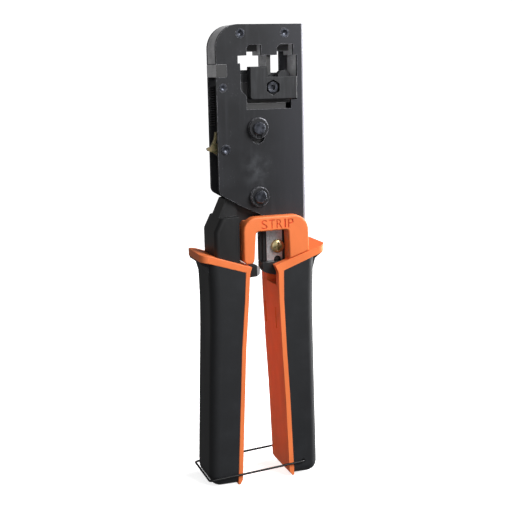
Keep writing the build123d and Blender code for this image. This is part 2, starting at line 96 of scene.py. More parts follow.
MM = 0.001
WORD_X = (-1.5, 13.2)  # reach of the marked word on the strip guide, mm
WORD_Z = (108.8, 112.5)
WORD_SHADE_DEPTH = (-10.97, -10.85, -10.5, -10.3)  # depth over which painted shade darkens the faces inside the sunk letters, then stops
SEAM_GAP = 0.002  # packed vertices closer than this are one
RIM = 0.25  # chamfer of a rivet's ends
LATCH_WIRE = 0.45  # radius of the latch wire
LATCH_INNER = 8.4  # how deep the wire's ends reach into the grip, from the middle
LATCH_BEND = 1.2
SLOTS = {part["node"]: part["material_slot"] for part in frame["record"]["subparts"]}
BODIES = {node: body for body, nodes in frame["record"]["behaviour"]["bodies"].items() for node in nodes}


# ------------------------------------------------------------------ measures taken from the frame
def middle(node):
    """Middle of a node's box."""
    low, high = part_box(node)
    return (low + high) / 2


# ------------------------------------------------------------------ surfaces
def grid_faces(rows, columns, close_columns=True):
    """Quads between neighbouring rows and columns of a grid; the last column may join the first."""
    last = columns if close_columns else columns - 1
    row, column = np.meshgrid(np.arange(rows - 1), np.arange(last), indexing="ij")
    after = (column + 1) % columns
    here, below = row * columns, (row + 1) * columns
    corners = [here + column, here + after, below + after, below + column]
    return np.stack(corners, axis=-1).reshape(-1, 4)


def fan_faces(ring, pole, columns, flip):
    """Triangles from a pole to the ring of vertices that starts at index ring."""
    here = np.arange(columns)
    after = (here + 1) % columns
    middle_column = np.full(columns, pole)
    order = (ring + after, ring + here, middle_column) if flip else (ring + here, ring + after, middle_column)
    return np.stack(order, axis=-1)


def new_piece(name, points, quads, triangles=None, uv=None, sharp=40.0):
    """Object from point and face arrays, shaded smooth except over edges sharper than an angle in degrees."""
    faces = quads.tolist() + ([] if triangles is None else triangles.tolist())
    mesh = bpy.data.meshes.new(name)
    mesh.from_pydata(points.reshape(-1, 3).tolist(), [], faces)
    if uv is not None:
        index = np.empty(len(mesh.loops), np.int32)
        mesh.loops.foreach_get("vertex_index", index)
        mesh.uv_layers.new(name="turned").data.foreach_set("uv", uv.reshape(-1, 2)[index].ravel())
    mesh.polygons.foreach_set("use_smooth", np.ones(len(mesh.polygons), bool))
    mesh.set_sharp_from_angle(angle=math.radians(sharp))
    mesh.update()
    piece = bpy.data.objects.new(name, mesh)
    bpy.context.scene.collection.objects.link(piece)
    return piece


def turned(name, centre, profile, columns=96, sink=None):
    """Solid turned about a line along y: each profile row (radius, y) is a circle round centre.

    sink(x, z) gives how far a point of the front face is pressed in, from its offsets to the centre.
    The two end rows close on a pole each. The map's u is the radius over 10 mm and v is the angle.
    """
    radius, depth = np.asarray(profile, float).T[:, :, None]
    angle = np.linspace(0, 2 * math.pi, columns, endpoint=False)[None, :]
    x, z = radius * np.cos(angle), radius * np.sin(angle)
    y = depth + np.zeros_like(x)
    if sink is not None:
        y = y + np.where(depth < depth.mean(), sink(x, z), 0.0)
    rows = len(profile)
    points = np.stack([x, y, z], axis=-1).reshape(-1, 3)
    ends = [(0.0, y[0].mean(), 0.0), (0.0, y[-1].mean(), 0.0)]
    if sink is not None:
        ends[0] = (0.0, float(depth[0, 0] + sink(np.zeros(1), np.zeros(1))[0]), 0.0)
    points = np.vstack([points, ends]) + np.array([centre[0], 0.0, centre[1]])
    u = np.append((radius + 0 * angle).ravel() / 0.01, [0.0, 0.0])
    v = np.append((angle + 0 * radius).ravel() / (2 * math.pi), [0.0, 0.0])
    quads = grid_faces(rows, columns)
    poles = rows * columns
    triangles = np.vstack([
        fan_faces(0, poles, columns, True), fan_faces((rows - 1) * columns, poles + 1, columns, False)])
    return new_piece(name, points, quads, triangles, np.stack([u, v], axis=-1))


def tube(name, path, side, radius, columns=24, sharp=60.0):
    """Round tube carried along a path: each ring is path + radius (cos t side + sin t (tangent x side)).

    side is a unit vector square to the path at each point, and radius may change along it, so that the
    ends round off. Both ends close on a pole.
    """
    tangent = np.gradient(path, axis=0)
    tangent /= np.linalg.norm(tangent, axis=1, keepdims=True)
    other = np.cross(tangent, side)
    other /= np.linalg.norm(other, axis=1, keepdims=True)
    t = np.linspace(0, 2 * math.pi, columns, endpoint=False)[None, :, None]
    ring = np.cos(t) * side[:, None, :] + np.sin(t) * other[:, None, :]
    points = (path[:, None, :] + radius[:, None, None] * ring).reshape(-1, 3)
    points = np.vstack([points, path[0], path[-1]])
    rows = len(path)
    quads = grid_faces(rows, columns)[:, ::-1]
    poles = rows * columns
    triangles = np.vstack([
        fan_faces(0, poles, columns, False), fan_faces((rows - 1) * columns, poles + 1, columns, True)])
    return new_piece(name, points, quads, triangles, sharp=sharp)


def rounded_route(corners, bend, spacing):
    """Straight runs joined by arcs of one radius: begin + r (sin a ahead + (1 - cos a) inward)."""
    corners = np.asarray(corners, float)
    runs = np.diff(corners, axis=0)
    lengths = np.linalg.norm(runs, axis=1)
    along = runs / lengths[:, None]
    pieces = []
    start = corners[0]
    for i in range(1, len(corners) - 1):
        turn = math.acos(float(np.clip(along[i - 1] @ along[i], -1, 1)))
        cut = bend * math.tan(turn / 2)
        begin = corners[i] - cut * along[i - 1]
        inward = along[i] - along[i - 1] * math.cos(turn)
        inward /= np.linalg.norm(inward)
        count = max(2, int(np.linalg.norm(begin - start) / spacing))
        share = np.linspace(0, 1, count, endpoint=False)[:, None]
        pieces.append(start + share * (begin - start))
        a = np.linspace(0, turn, 9)[:-1, None]
        pieces.append(begin + bend * (np.sin(a) * along[i - 1] + (1 - np.cos(a)) * inward))
        start = corners[i] + cut * along[i]
    count = max(2, int(np.linalg.norm(corners[-1] - start) / spacing))
    pieces.append(start + np.linspace(0, 1, count)[:, None] * (corners[-1] - start))
    return np.vstack(pieces)


# ------------------------------------------------------------------ shader maths
class Sock:
    """One output of a shader node; an expression on it adds Math nodes."""

    def __init__(self, finish, output):
        self.finish = finish
        self.output = output

    def _maths(self, operation, *values):
        return self.finish.node("ShaderNodeMath", {"operation": operation}, values)

    def __add__(self, other):
        return self._maths("ADD", self, other)

    def __radd__(self, other):
        return self._maths("ADD", other, self)

    def __sub__(self, other):
        return self._maths("SUBTRACT", self, other)

    def __rsub__(self, other):
        return self._maths("SUBTRACT", other, self)

    def __mul__(self, other):
        return self._maths("MULTIPLY", self, other)

    def __rmul__(self, other):
        return self._maths("MULTIPLY", other, self)

    def __abs__(self):
        return self._maths("ABSOLUTE", self)


class Finish:
    """A material whose nodes are added one by one."""

    def __init__(self, name):
        self.material = bpy.data.materials.new(name)
        self.material.use_nodes = True
        self.tree = self.material.node_tree
        self.shader = self.tree.nodes["Principled BSDF"]

    def node(self, kind, settings=None, inputs=(), output=0):
        """Adds a node of a kind, sets its settings, then its socket values or links; gives one output."""
        node = self.tree.nodes.new(kind)
        for key, value in (settings or {}).items():
            setattr(node, key, value)
        pairs = inputs.items() if isinstance(inputs, dict) else enumerate(inputs)
        for key, value in pairs:
            self.feed(node.inputs[key], value)
        return Sock(self, node.outputs[output])

    def feed(self, socket, value):
        """Links a socket, or gives it a constant."""
        if isinstance(value, Sock):
            self.tree.links.new(value.output, socket)
        else:
            socket.default_value = value

    def surface(self, values):
        """Feeds the shader's own sockets."""
        for name, value in values.items():
            self.feed(self.shader.inputs[name], value)
        return self.material

    def place(self):
        """Position on the object, in millimetres."""
        metres = self.node("ShaderNodeTexCoord", output="Object")
        return self.node("ShaderNodeVectorMath", {"operation": "MULTIPLY"}, (metres, (1000, 1000, 1000)))

    def axis(self, vector, name):
        """One component of a vector."""
        return self.node("ShaderNodeSeparateXYZ", inputs=(vector,), output=name)

    def noise(self, place, scale, detail=3.0, stretch=(1, 1, 1), roughness=0.5, distortion=0.0):
        """Noise from 0 to 1 with a scale per millimetre, stretched by dividing the axes."""
        shrunk = self.node("ShaderNodeVectorMath", {"operation": "DIVIDE"}, (place, stretch))
        return self.node("ShaderNodeTexNoise", inputs={
            "Vector": shrunk, "Scale": scale, "Detail": detail, "Roughness": roughness,
            "Distortion": distortion})

    def step(self, value, low, high):
        """Smooth step from 0 at low to 1 at high."""
        return self.node("ShaderNodeMapRange", {"interpolation_type": "SMOOTHSTEP"}, {
            "Value": value, "From Min": low, "From Max": high})

    def mix(self, factor, first, second):
        """Colour between two colours."""
        return self.node("ShaderNodeMix", {"data_type": "RGBA"}, {0: factor, 6: first, 7: second}, 2)

    def edges(self, radius):
        """0 on open faces, rising to 1 near an edge; radius is in millimetres."""
        rounded = self.node("ShaderNodeBevel", {"samples": 6}, {"Radius": radius * MM})
        plain = self.node("ShaderNodeNewGeometry", output="Normal")
        along = self.node("ShaderNodeVectorMath", {"operation": "DOT_PRODUCT"}, (rounded, plain), "Value")
        return self.step(1 - along, 0.01, 0.2)

    def bump(self, height, strength, distance):
        """Normal bent by a height; distance is in millimetres."""
        return self.node("ShaderNodeBump", inputs={
            "Strength": strength, "Distance": distance * MM, "Height": height})


def rgb(colour):
    """Colour with full alpha."""
    return (*colour, 1.0)


def lighter(colour, factor):
    """Colour scaled in brightness, with full alpha."""
    return tuple(min(1.0, c * factor) for c in colour) + (1.0,)


# ------------------------------------------------------------------ finishes
def black_oxide(colour):
    """Satin black oxide on sheet steel: cloudy, faintly streaked, rubbed pale at edges, with a painted
    highlight, pale and more metallic, along the fold.
    """
    f = Finish("black_oxide")
    place = f.place()
    cloud = f.noise(place, 0.09, 5.0, roughness=0.6)
    streak = f.noise(place, 0.55, 4.0, stretch=(1, 1, 14))
    grain = f.noise(place, 2.6, 2.0)
    offset = f.node("ShaderNodeVectorMath", {"operation": "SUBTRACT"}, (place, (-1.0, -6.6, 133.0)))
    squeezed = f.node("ShaderNodeVectorMath", {"operation": "DIVIDE"}, (offset, (8.0, 30.0, 9.5)))
    distance = f.node("ShaderNodeVectorMath", {"operation": "LENGTH"}, (squeezed,), "Value")
    handled = (1 - f.step(distance, 0.1, 1.1)) * f.step(f.noise(place, 0.3, 4.0), 0.3, 0.75)
    tint = f.mix(f.step(f.axis(place, "X"), -1.0, 21.0), lighter(colour, 0.95), rgb((0.036, 0.037, 0.045)))
    base = f.mix(f.step(cloud, 0.35, 0.75) * 0.55, tint, lighter(colour, 1.7))
    base = f.mix(f.step(streak, 0.5, 0.8) * 0.40, base, lighter(colour, 2.6))
    base = f.mix(handled * 0.6, base, rgb((0.085, 0.090, 0.100)))
    speck = f.step(f.noise(place, 1.9, 1.0), 0.72, 0.80) * f.step(cloud, 0.45, 0.6)
    base = f.mix(speck * 0.5, base, rgb((0.16, 0.165, 0.18)))
    facing = f.node("ShaderNodeTexCoord", output="Normal")
    side = f.axis(facing, "X")
    # painted highlight: the fold, where the normal turns from the front towards +X, is made pale and more
    # metallic
    bend = f.step(side, 0.01, 0.18) * (1 - f.step(side, 0.86, 0.95))
    rubbed = f.edges(0.30) * f.step(f.noise(place, 0.7, 3.0), 0.25, 0.7)
    rubbed_edges_and_fold_highlight = f.node("ShaderNodeMath", {"operation": "MAXIMUM"}, (bend * 0.85, rubbed * 0.75))
    # pale colour over the rubbed edges (wear) and over the fold (painted highlight)
    base = f.mix(rubbed_edges_and_fold_highlight, base, rgb((0.66, 0.66, 0.72)))
    return f.surface({
        "Base Color": base,
        "Roughness": 0.40 + 0.16 * cloud - 0.08 * rubbed_edges_and_fold_highlight + 0.06 * streak,
        "Metallic": 0.25 + 0.55 * rubbed_edges_and_fold_highlight,
        "Normal": f.bump(grain + 0.6 * streak, 0.22, 0.03)})


def core_steel(colour):
    """Ground steel, lined across by the wheel and stained; faces turned to front or back are blackened."""
    f = Finish("core_steel")
    place = f.place()
    lines = f.noise(place, 1.6, 4.0, stretch=(1, 9, 1))
    stain = f.noise(place, 0.16, 4.0, distortion=0.6)
    base = f.mix(f.step(stain, 0.4, 0.7) * 0.5, rgb(colour), lighter(colour, 0.58))
    base = f.mix(f.step(lines, 0.45, 0.7) * 0.4, base, lighter(colour, 1.35))
    facing = f.node("ShaderNodeTexCoord", output="Normal")
    base = f.mix(f.step(abs(f.axis(facing, "Y")), 0.6, 0.9) * 0.97, base, lighter(colour, 0.05))
    base = f.mix(f.edges(0.22) * 0.5, base, rgb((0.60, 0.60, 0.62)))
    return f.surface({
        "Base Color": base,
        "Roughness": 0.38 + 0.22 * stain,
        "Metallic": 0.25,
        "Normal": f.bump(lines, 0.25, 0.03)})


def dark_pin(colour):
    """Blackened turned steel: fine rings round the middle of each face, brighter at the rim."""
    f = Finish("dark_pin")
    place = f.place()
    turned_map = f.node("ShaderNodeUVMap", {"uv_map": "turned"})
    radius = f.axis(turned_map, "X")
    rings = f.node("ShaderNodeMath", {"operation": "SINE"}, (radius * 420.0,))
    smudge = f.noise(place, 0.8, 4.0)
    base = f.mix(f.step(smudge, 0.35, 0.7), lighter(colour, 0.65), lighter(colour, 1.5))
    base = f.mix(f.edges(0.25) * 0.7, base, rgb((0.55, 0.56, 0.60)))
    return f.surface({
        "Base Color": base,
        "Roughness": 0.30 + 0.18 * smudge,
        "Metallic": 0.85,
        "Normal": f.bump(rings * 0.5 + smudge, 0.18, 0.02)})


def die_steel(colour):
    """Charcoal phosphate over milled steel, rubbed back to metal along its edges."""
    f = Finish("die_steel")
    place = f.place()
    mill = f.noise(place, 0.9, 3.0, stretch=(1, 1, 7))
    grain = f.noise(place, 3.2, 2.0)
    rubbed = f.edges(0.35) * f.step(f.noise(place, 0.8, 3.0), 0.2, 0.6)
    base = f.mix(f.step(mill, 0.35, 0.75), lighter(colour, 0.85), lighter(colour, 1.35))
    base = f.mix(rubbed * 0.7, base, rgb((0.34, 0.35, 0.36)))
    return f.surface({
        "Base Color": base,
        "Roughness": 0.46 + 0.14 * grain - 0.12 * rubbed,
        "Metallic": 0.30 + 0.4 * rubbed,
        "Normal": f.bump(grain + mill, 0.2, 0.03)})


def yellow_zinc(colour):
    """Yellow zinc plate, drifting to green and pink, dulled in patches."""
    f = Finish("yellow_zinc")
    place = f.place()
    drift = f.noise(place, 0.35, 3.0, distortion=0.8)
    dull = f.noise(place, 1.4, 4.0)
    base = f.mix(f.step(drift, 0.3, 0.55), rgb((0.26, 0.26, 0.12)), rgb(colour))
    base = f.mix(f.step(drift, 0.55, 0.75), base, rgb((0.46, 0.33, 0.22)))
    base = f.mix(f.step(dull, 0.55, 0.8) * 0.6, base, rgb((0.13, 0.11, 0.06)))
    base = f.mix(f.edges(0.2) * 0.6, base, rgb((0.85, 0.80, 0.66)))
    return f.surface({
        "Base Color": base,
        "Roughness": 0.22 + 0.30 * dull,
        "Metallic": 0.92,
        "Normal": f.bump(dull, 0.12, 0.02)})


def spring_steel(colour):
    """Oiled black spring wire with a drawn lustre."""
    f = Finish("spring_steel")
    place = f.place()
    drawn = f.noise(place, 2.2, 3.0)
    return f.surface({
        "Base Color": f.mix(f.step(drawn, 0.4, 0.8), rgb(colour), lighter(colour, 2.4)),
        "Roughness": 0.30 + 0.2 * drawn,
        "Metallic": 0.6,
        "Normal": f.bump(drawn, 0.1, 0.02)})


def black_rubber(colour):
    """Matt moulded rubber: fine pebbled skin, faint dust in the grain, polished a little where it is held."""
    f = Finish("black_rubber")
    place = f.place()
    pebble = f.node("ShaderNodeTexVoronoi", inputs={"Vector": place, "Scale": 3.2}, output="Distance")
    skin = f.noise(place, 5.5, 2.0)
    dust = f.noise(place, 0.11, 5.0, roughness=0.65)
    held = f.noise(place, 0.045, 2.0, stretch=(1, 1, 2.5))
    base = f.mix(f.step(dust, 0.42, 0.78) * 0.55, rgb(colour), lighter(colour, 1.75))
    lint = f.step(f.noise(place, 1.1, 1.0), 0.80, 0.84) * f.step(dust, 0.5, 0.6)
    base = f.mix(lint * 0.35, base, rgb((0.16, 0.16, 0.16)))
    base = f.mix(f.edges(0.4) * 0.25, base, lighter(colour, 3.0))
    return f.surface({
        "Base Color": base,
        "Roughness": 0.56 + 0.14 * dust - 0.10 * f.step(held, 0.5, 0.7),
        "Specular IOR Level": 0.42,
        "Sheen Weight": 0.06,
        "Sheen Roughness": 0.4,
        "Normal": f.bump(pebble * 0.8 + skin, 0.30, 0.045)})


def orange_plastic(colour):
    """Satin moulded plastic: orange peel, flow marks, grubby in patches, with painted shade, a redder orange,
    on the floors of the sunk word.
    """
    f = Finish("orange_plastic")
    place = f.place()
    peel = f.noise(place, 1.5, 2.0)
    flow = f.noise(place, 0.10, 4.0, stretch=(1, 1, 3), distortion=0.7)
    grub = f.noise(place, 0.5, 5.0, roughness=0.7)
    base = f.mix(f.step(flow, 0.35, 0.7), lighter(colour, 0.90), lighter(colour, 1.04))
    base = f.mix(f.step(grub, 0.60, 0.80) * 0.16, base, rgb((0.36, 0.06, 0.015)))
    base = f.mix(f.edges(0.35) * 0.25, base, rgb((1.0, 0.30, 0.10)))
    x, y, z = (f.axis(place, name) for name in "XYZ")
    across = f.step(x, WORD_X[0] - 0.3, WORD_X[0]) * (1 - f.step(x, WORD_X[1], WORD_X[1] + 0.3))
    upright = f.step(z, WORD_Z[0] - 0.2, WORD_Z[0]) * (1 - f.step(z, WORD_Z[1], WORD_Z[1] + 0.2))
    # painted shade: the faces inside the sunk letters get a darker, redder orange, standing in for shade in
    # the recess
    sunk = across * upright * f.step(y, *WORD_SHADE_DEPTH[:2]) * (1 - f.step(y, *WORD_SHADE_DEPTH[2:]))
    base = f.mix(sunk * 0.85, base, rgb((0.80, 0.095, 0.030)))
    return f.surface({
        "Base Color": base,
        "Roughness": 0.40 + 0.12 * grub,
        "Specular IOR Level": 0.45,
        "Normal": f.bump(peel, 0.12, 0.04)})


def black_plastic(colour):
    """Satin black nylon with flow marks and a few handling marks."""
    f = Finish("black_plastic")
    place = f.place()
    flow = f.noise(place, 0.13, 4.0, stretch=(1, 1, 4), distortion=0.5)
    grain = f.noise(place, 3.0, 2.0)
    base = f.mix(f.step(flow, 0.4, 0.75), rgb(colour), lighter(colour, 1.9))
    base = f.mix(f.edges(0.35) * 0.3, base, lighter(colour, 5.0))
    return f.surface({
        "Base Color": base,
        "Roughness": 0.38 + 0.16 * flow,
        "Specular IOR Level": 0.5,
        "Normal": f.bump(grain, 0.14, 0.03)})


def blade_steel(colour):
    """Ground blade steel: fine lines along the grind, mottled by handling."""
    f = Finish("blade_steel")
    place = f.place()
    grind = f.noise(place, 1.8, 4.0, stretch=(1, 1, 10))
    mottle = f.noise(place, 0.75, 5.0, roughness=0.65)
    base = f.mix(f.step(mottle, 0.42, 0.72) * 0.65, rgb(colour), lighter(colour, 0.45))
    base = f.mix(f.edges(0.15) * 0.5, base, rgb((0.92, 0.92, 0.93)))
    return f.surface({
        "Base Color": base,
        "Roughness": 0.28 + 0.24 * mottle,
        "Metallic": 0.80,
        "Normal": f.bump(grind, 0.2, 0.02)})


def black_wire(colour):
    """Black enamelled wire, rubbed where it slides."""
    f = Finish("black_wire")
    place = f.place()
    rub = f.noise(place, 0.9, 4.0)
    return f.surface({
        "Base Color": f.mix(f.step(rub, 0.6, 0.85) * 0.6, rgb(colour), lighter(colour, 5.0)),
        "Roughness": 0.26 + 0.2 * rub,
        "Metallic": 0.35,
        "Normal": f.bump(rub, 0.08, 0.02)})


def pale_floor(colour):
    """Plain pale studio paper."""
    f = Finish("pale_floor")
    fibre = f.noise(f.place(), 0.02, 3.0)
    return f.surface({
        "Base Color": f.mix(fibre, rgb(colour), lighter(colour, 0.985)),
        "Roughness": 0.9,
        "Emission Color": rgb((1.0, 1.0, 1.0)),
        "Emission Strength": bpy.context.scene.crimper_stage.floor_glow})


FINISHES = {
    "black_oxide": (black_oxide, (0.0150, 0.0157, 0.0185)),
    "core_steel": (core_steel, (0.80, 0.80, 0.82)),
    "dark_pin": (dark_pin, (0.070, 0.075, 0.092)),
    "die_steel": (die_steel, (0.030, 0.031, 0.034)),
    "yellow_zinc": (yellow_zinc, (0.58, 0.48, 0.26)),
    "spring_steel": (spring_steel, (0.018, 0.018, 0.020)),
    "black_rubber": (black_rubber, (0.0125, 0.0135, 0.0158)),
    "orange_plastic": (orange_plastic, (1.0, 0.235, 0.068)),
    "black_plastic": (black_plastic, (0.0090, 0.0092, 0.0100)),
    "blade_steel": (blade_steel, (0.66, 0.66, 0.68)),
    "black_wire": (black_wire, (0.012, 0.012, 0.013)),
}


def finish_for(slot):
    """The material of a slot, made the first time it is asked for."""
    made = bpy.data.materials.get(slot)
    if made is not None and made.use_nodes and made.get("crimper"):
        return made
    make, _ = FINISHES[slot]
    if made is not None:
        made.name = slot + "_packed"
    material = make(tuple(getattr(bpy.context.scene.crimper_colours, slot)))
    material["crimper"] = True
    return material


# ------------------------------------------------------------------ pieces
def paint(piece, slot):
    """Gives a piece the one material of a slot."""
    piece.data.materials.clear()
    piece.data.materials.append(finish_for(slot))


def finish_node(node, width):
    """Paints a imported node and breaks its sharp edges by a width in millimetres."""
    piece = frame["nodes"][node]
    paint(piece, SLOTS[node])
    if width > 0:
        weld = piece.modifiers.new("join", "WELD")
        weld.merge_threshold = SEAM_GAP * MM
        flat = piece.modifiers.new("flat", "DECIMATE")
        flat.decimate_type = "DISSOLVE"
        flat.angle_limit = math.radians(0.6)
        edge = piece.modifiers.new("edge", "BEVEL")
        edge.width = width * MM
        edge.segments = 2
        edge.limit_method = "ANGLE"
        edge.angle_limit = math.radians(38)
        edge.use_clamp_overlap = True
        edge.harden_normals = False
        shade = piece.modifiers.new("shade", "WEIGHTED_NORMAL")
        shade.weight = 80
        shade.keep_sharp = False


def stand_for(piece, node, slot=None):
    """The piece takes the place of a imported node, on its body and in its slot."""
    paint(piece, slot or SLOTS[node])
    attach(piece, BODIES[node])
    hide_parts(node)


def merged_copy(node, name):
    """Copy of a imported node's mesh, joined at its seams."""
    mesh = frame["nodes"][node].data.copy()
    piece = bpy.data.objects.new(name, mesh)
    bpy.context.scene.collection.objects.link(piece)
    weld = piece.modifiers.new("join", "WELD")
    weld.merge_threshold = SEAM_GAP * MM
    return piece


def applied(piece, name, sharp=35.0):
    """The piece with its modifiers applied, as a new object; the old one goes."""
    graph = bpy.context.evaluated_depsgraph_get()
    mesh = bpy.data.meshes.new_from_object(piece.evaluated_get(graph))
    bpy.data.objects.remove(piece)
    mesh.name = name
    if "custom_normal" in mesh.attributes:
        mesh.attributes.remove(mesh.attributes["custom_normal"])
    mesh.polygons.foreach_set("use_smooth", np.ones(len(mesh.polygons), bool))
    mesh.set_sharp_from_angle(angle=math.radians(sharp))
    made = bpy.data.objects.new(name, mesh)
    bpy.context.scene.collection.objects.link(made)
    return made


def pin_profile(radius, out, groove, chamfer=0.35):
    """Rows of a pin from front to back: chamfered ends, and a groove near each for its ring."""
    near, far = groove
    half = [
        (radius * 0.25, -out), (radius * 0.6, -out), (radius - chamfer, -out), (radius, -out + chamfer),
        (radius, -far), (radius - 0.4, -far), (radius - 0.4, -near), (radius, -near), (radius, -near + 2.0)]
    rows = np.array(half + [(r, -y) for r, y in reversed(half)])
    return rows * MM


def dimple(radius, depth):
    """Round hollow: full depth in the middle, easing out at a radius."""
    def sink(x, z):
        share = np.clip(1 - np.hypot(x, z) / (radius * MM), 0, 1)
        return depth * MM * (1 - (1 - share) ** 2)
    return sink


def cross_recess(half_width, reach, depth):
    """Cross of two tapered slots: full depth inside both half width and reach, with sloping walls."""
    def sink(x, z):
        along, across = np.maximum(abs(x), abs(z)) / MM, np.minimum(abs(x), abs(z)) / MM
        wall = np.minimum((half_width - across) / 0.14, (reach - along) / 0.40)
        return depth * MM * np.clip(wall, 0, 1)
    return sink


def hex_recess(half_flats, depth):
    """Six-sided socket: the distance to the nearest flat gives a steep wall."""
    def sink(x, z):
        angle = np.arctan2(z, x)
        across = np.hypot(x, z) * np.cos((angle + math.pi / 6) % (math.pi / 3) - math.pi / 6) / MM
        return depth * MM * np.clip((half_flats - across) / 0.10, 0, 1)
    return sink


def face_rows(radius, step, front, dome=0.0):
    """Close rows over a round face in millimetres; dome is how far its middle stands proud of its rim."""
    r = np.arange(step, radius + step / 2, step)
    return [(a, front - dome * (1 - (a / radius) ** 2)) for a in r]


class CRIMPER_PG_sizes(bpy.types.PropertyGroup):
    """Sizes of the finer surfaces."""
    edge_steel: FloatProperty(
        name="Steel edge", description="Width of the broken edges on steel parts, in millimetres",
        default=0.16, min=0.0, max=0.5)
    edge_plastic: FloatProperty(
        name="Plastic edge", description="Width of the broken edges on moulded parts, in millimetres",
        default=0.28, min=0.0, max=1.0)
    edge_small: FloatProperty(
        name="Small edge", description="Width of the broken edges on small parts, in millimetres",
        default=0.09, min=0.0, max=0.3)
    columns: IntProperty(
        name="Columns", description="Columns round a turned part", default=96, min=24, max=256)
    word: StringProperty(
        name="Word", description="What the strip station is marked with", default="STRIP")
    word_depth: FloatProperty(
        name="Letter depth", description="Depth of the sunk letters", default=0.00035, subtype="DISTANCE")


def colour_property(slot):
    """Colour property of one slot, with its default."""
    return FloatVectorProperty(
        name=slot.replace("_", " ").capitalize(), description="Base colour of the " + slot.replace("_", " "),
        default=FINISHES[slot][1], size=3, min=0.0, max=1.0, subtype="COLOR")


class CRIMPER_PG_colours(bpy.types.PropertyGroup):
    """Base colour of each finish."""
    __annotations__ = {slot: colour_property(slot) for slot in FINISHES}


class CRIMPER_PG_stage(bpy.types.PropertyGroup):
    """Floor, lights and camera."""
    floor_glow: FloatProperty(
        name="Floor glow", description="Light given off by the floor paper", default=0.80, min=0.0, max=2.0)
    key_power: FloatProperty(
        name="Key power", description="Power of the key light", default=9.5, min=0.0, unit="POWER")
    strip_power: FloatProperty(
        name="Side strip power", description="Power of the strip light on the right", default=11.0,
        unit="POWER")
    fill_power: FloatProperty(
        name="Fill power", description="Power of the fill light", default=1.1, unit="POWER")
    sky: FloatProperty(
        name="Surround", description="Brightness of the surroundings", default=0.16, min=0.0, max=2.0)
    camera_place: FloatVectorProperty(
        name="Camera", description="Where the camera stands", default=(-0.13384, -0.40008, 0.17462),
        size=3, subtype="TRANSLATION")
    camera_yaw: FloatProperty(
        name="Turn", description="Turn of the camera towards +X from +Y", default=math.radians(18.4845),
        subtype="ANGLE")
    camera_pitch: FloatProperty(
        name="Tilt", description="Tilt of the camera below level", default=math.radians(10.5826),
        subtype="ANGLE")
    camera_roll: FloatProperty(
        name="Roll", description="Roll of the camera about its line of sight",
        default=math.radians(-1.2157), subtype="ANGLE")
    lens: FloatProperty(
        name="Lens", description="Focal length, in millimetres on a 36 mm sensor", default=71.7, min=10.0)


class CRIMPER_OT_head(bpy.types.Operator):
    """Finish the folded steel head, its jaw core and its cross tie"""
    bl_idname = "crimper.head"
    bl_label = "Head"

    def execute(self, context):
        sizes = context.scene.crimper_sizes
        for node in ("head_shell", "jaw_core", "cross_tie"):
            finish_node(node, sizes.edge_steel)
        return {"FINISHED"}


class CRIMPER_OT_rivets(bpy.types.Operator):
    """Turn the two jaw rivets, the stop stud and the pawl pin, each with its dimple"""
    bl_idname = "crimper.rivets"
    bl_label = "Rivets"

    def execute(self, context):
        columns = context.scene.crimper_sizes.columns
        low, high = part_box("jaw_rivets")
        radius = (high.z - low.z) / 2 / MM
        ends = []
        for x in (low.x + radius * MM, high.x - radius * MM):
            out = high.y / MM
            rows = face_rows(radius - RIM, 0.06, -out) + [
                (radius, -out + RIM), (radius, out - RIM), (radius - RIM, out)]
            ends.append(turned(
                "jaw_rivet", (x, (low.z + high.z) / 2), np.array(rows) * MM, columns, dimple(1.15, 0.55)))
        rivets = joined(ends, "jaw_rivets_turned")
        stand_for(rivets, "jaw_rivets")
        for node, dent in (("stop_stud", dimple(0.9, 0.25)), ("pawl_pin", dimple(1.25, 0.55))):
            low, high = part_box(node)
            radius, front, back = (high.x - low.x) / 2 / MM, low.y / MM, high.y / MM
            rows = face_rows(radius - RIM, 0.06, front) + [
                (radius, front + RIM), (radius, back - RIM), (radius - RIM, back)]
            centre = middle(node)
            pin = turned(node + "_turned", (centre.x, centre.z), np.array(rows) * MM, columns, dent)
            stand_for(pin, node)
        return {"FINISHED"}


def joined(pieces, name):
    """Several pieces made one, in one mesh."""
    meshes = [piece.data for piece in pieces]
    points, faces, maps, offset = [], [], [], 0
    for mesh in meshes:
        co = np.empty(len(mesh.vertices) * 3)
        mesh.vertices.foreach_get("co", co)
        uv = np.empty(len(mesh.loops) * 2)
        mesh.uv_layers[0].data.foreach_get("uv", uv)
        index = np.empty(len(mesh.loops), np.int32)
        mesh.loops.foreach_get("vertex_index", index)
        start = np.empty(len(mesh.polygons), np.int32)
        mesh.polygons.foreach_get("loop_start", start)
        faces += [part.tolist() for part in np.split(index + offset, start[1:])]
        points.append(co.reshape(-1, 3))
        maps.append(uv)
        offset += len(mesh.vertices)
    mesh = bpy.data.meshes.new(name)
    mesh.from_pydata(np.vstack(points).tolist(), [], faces)
    mesh.uv_layers.new(name="turned").data.foreach_set("uv", np.concatenate(maps))
    mesh.polygons.foreach_set("use_smooth", np.ones(len(mesh.polygons), bool))
    mesh.set_sharp_from_angle(angle=math.radians(40))
    for piece in pieces:
        bpy.data.objects.remove(piece)
    made = bpy.data.objects.new(name, mesh)
    bpy.context.scene.collection.objects.link(made)
    return made


class CRIMPER_OT_pins(bpy.types.Operator):
    """Turn the main pivot and the ram pin, and finish their rings and the knee pin"""
    bl_idname = "crimper.pins"
    bl_label = "Pins and rings"

    def execute(self, context):
        sizes = context.scene.crimper_sizes
        for node in ("pivot_pin", "ram_pin"):
            low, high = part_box(node)
            centre = middle(node)
            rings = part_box(node.replace("_pin", "_rings"))
            groove = (rings[1].y / MM - 0.8, rings[1].y / MM)
            rows = pin_profile((high.x - low.x) / 2 / MM, high.y / MM, groove)
            stand_for(turned(node + "_turned", (centre.x, centre.z), rows, sizes.columns), node)
        for node in ("pivot_rings", "ram_rings", "knee_pin"):
            finish_node(node, sizes.edge_small)
        return {"FINISHED"}


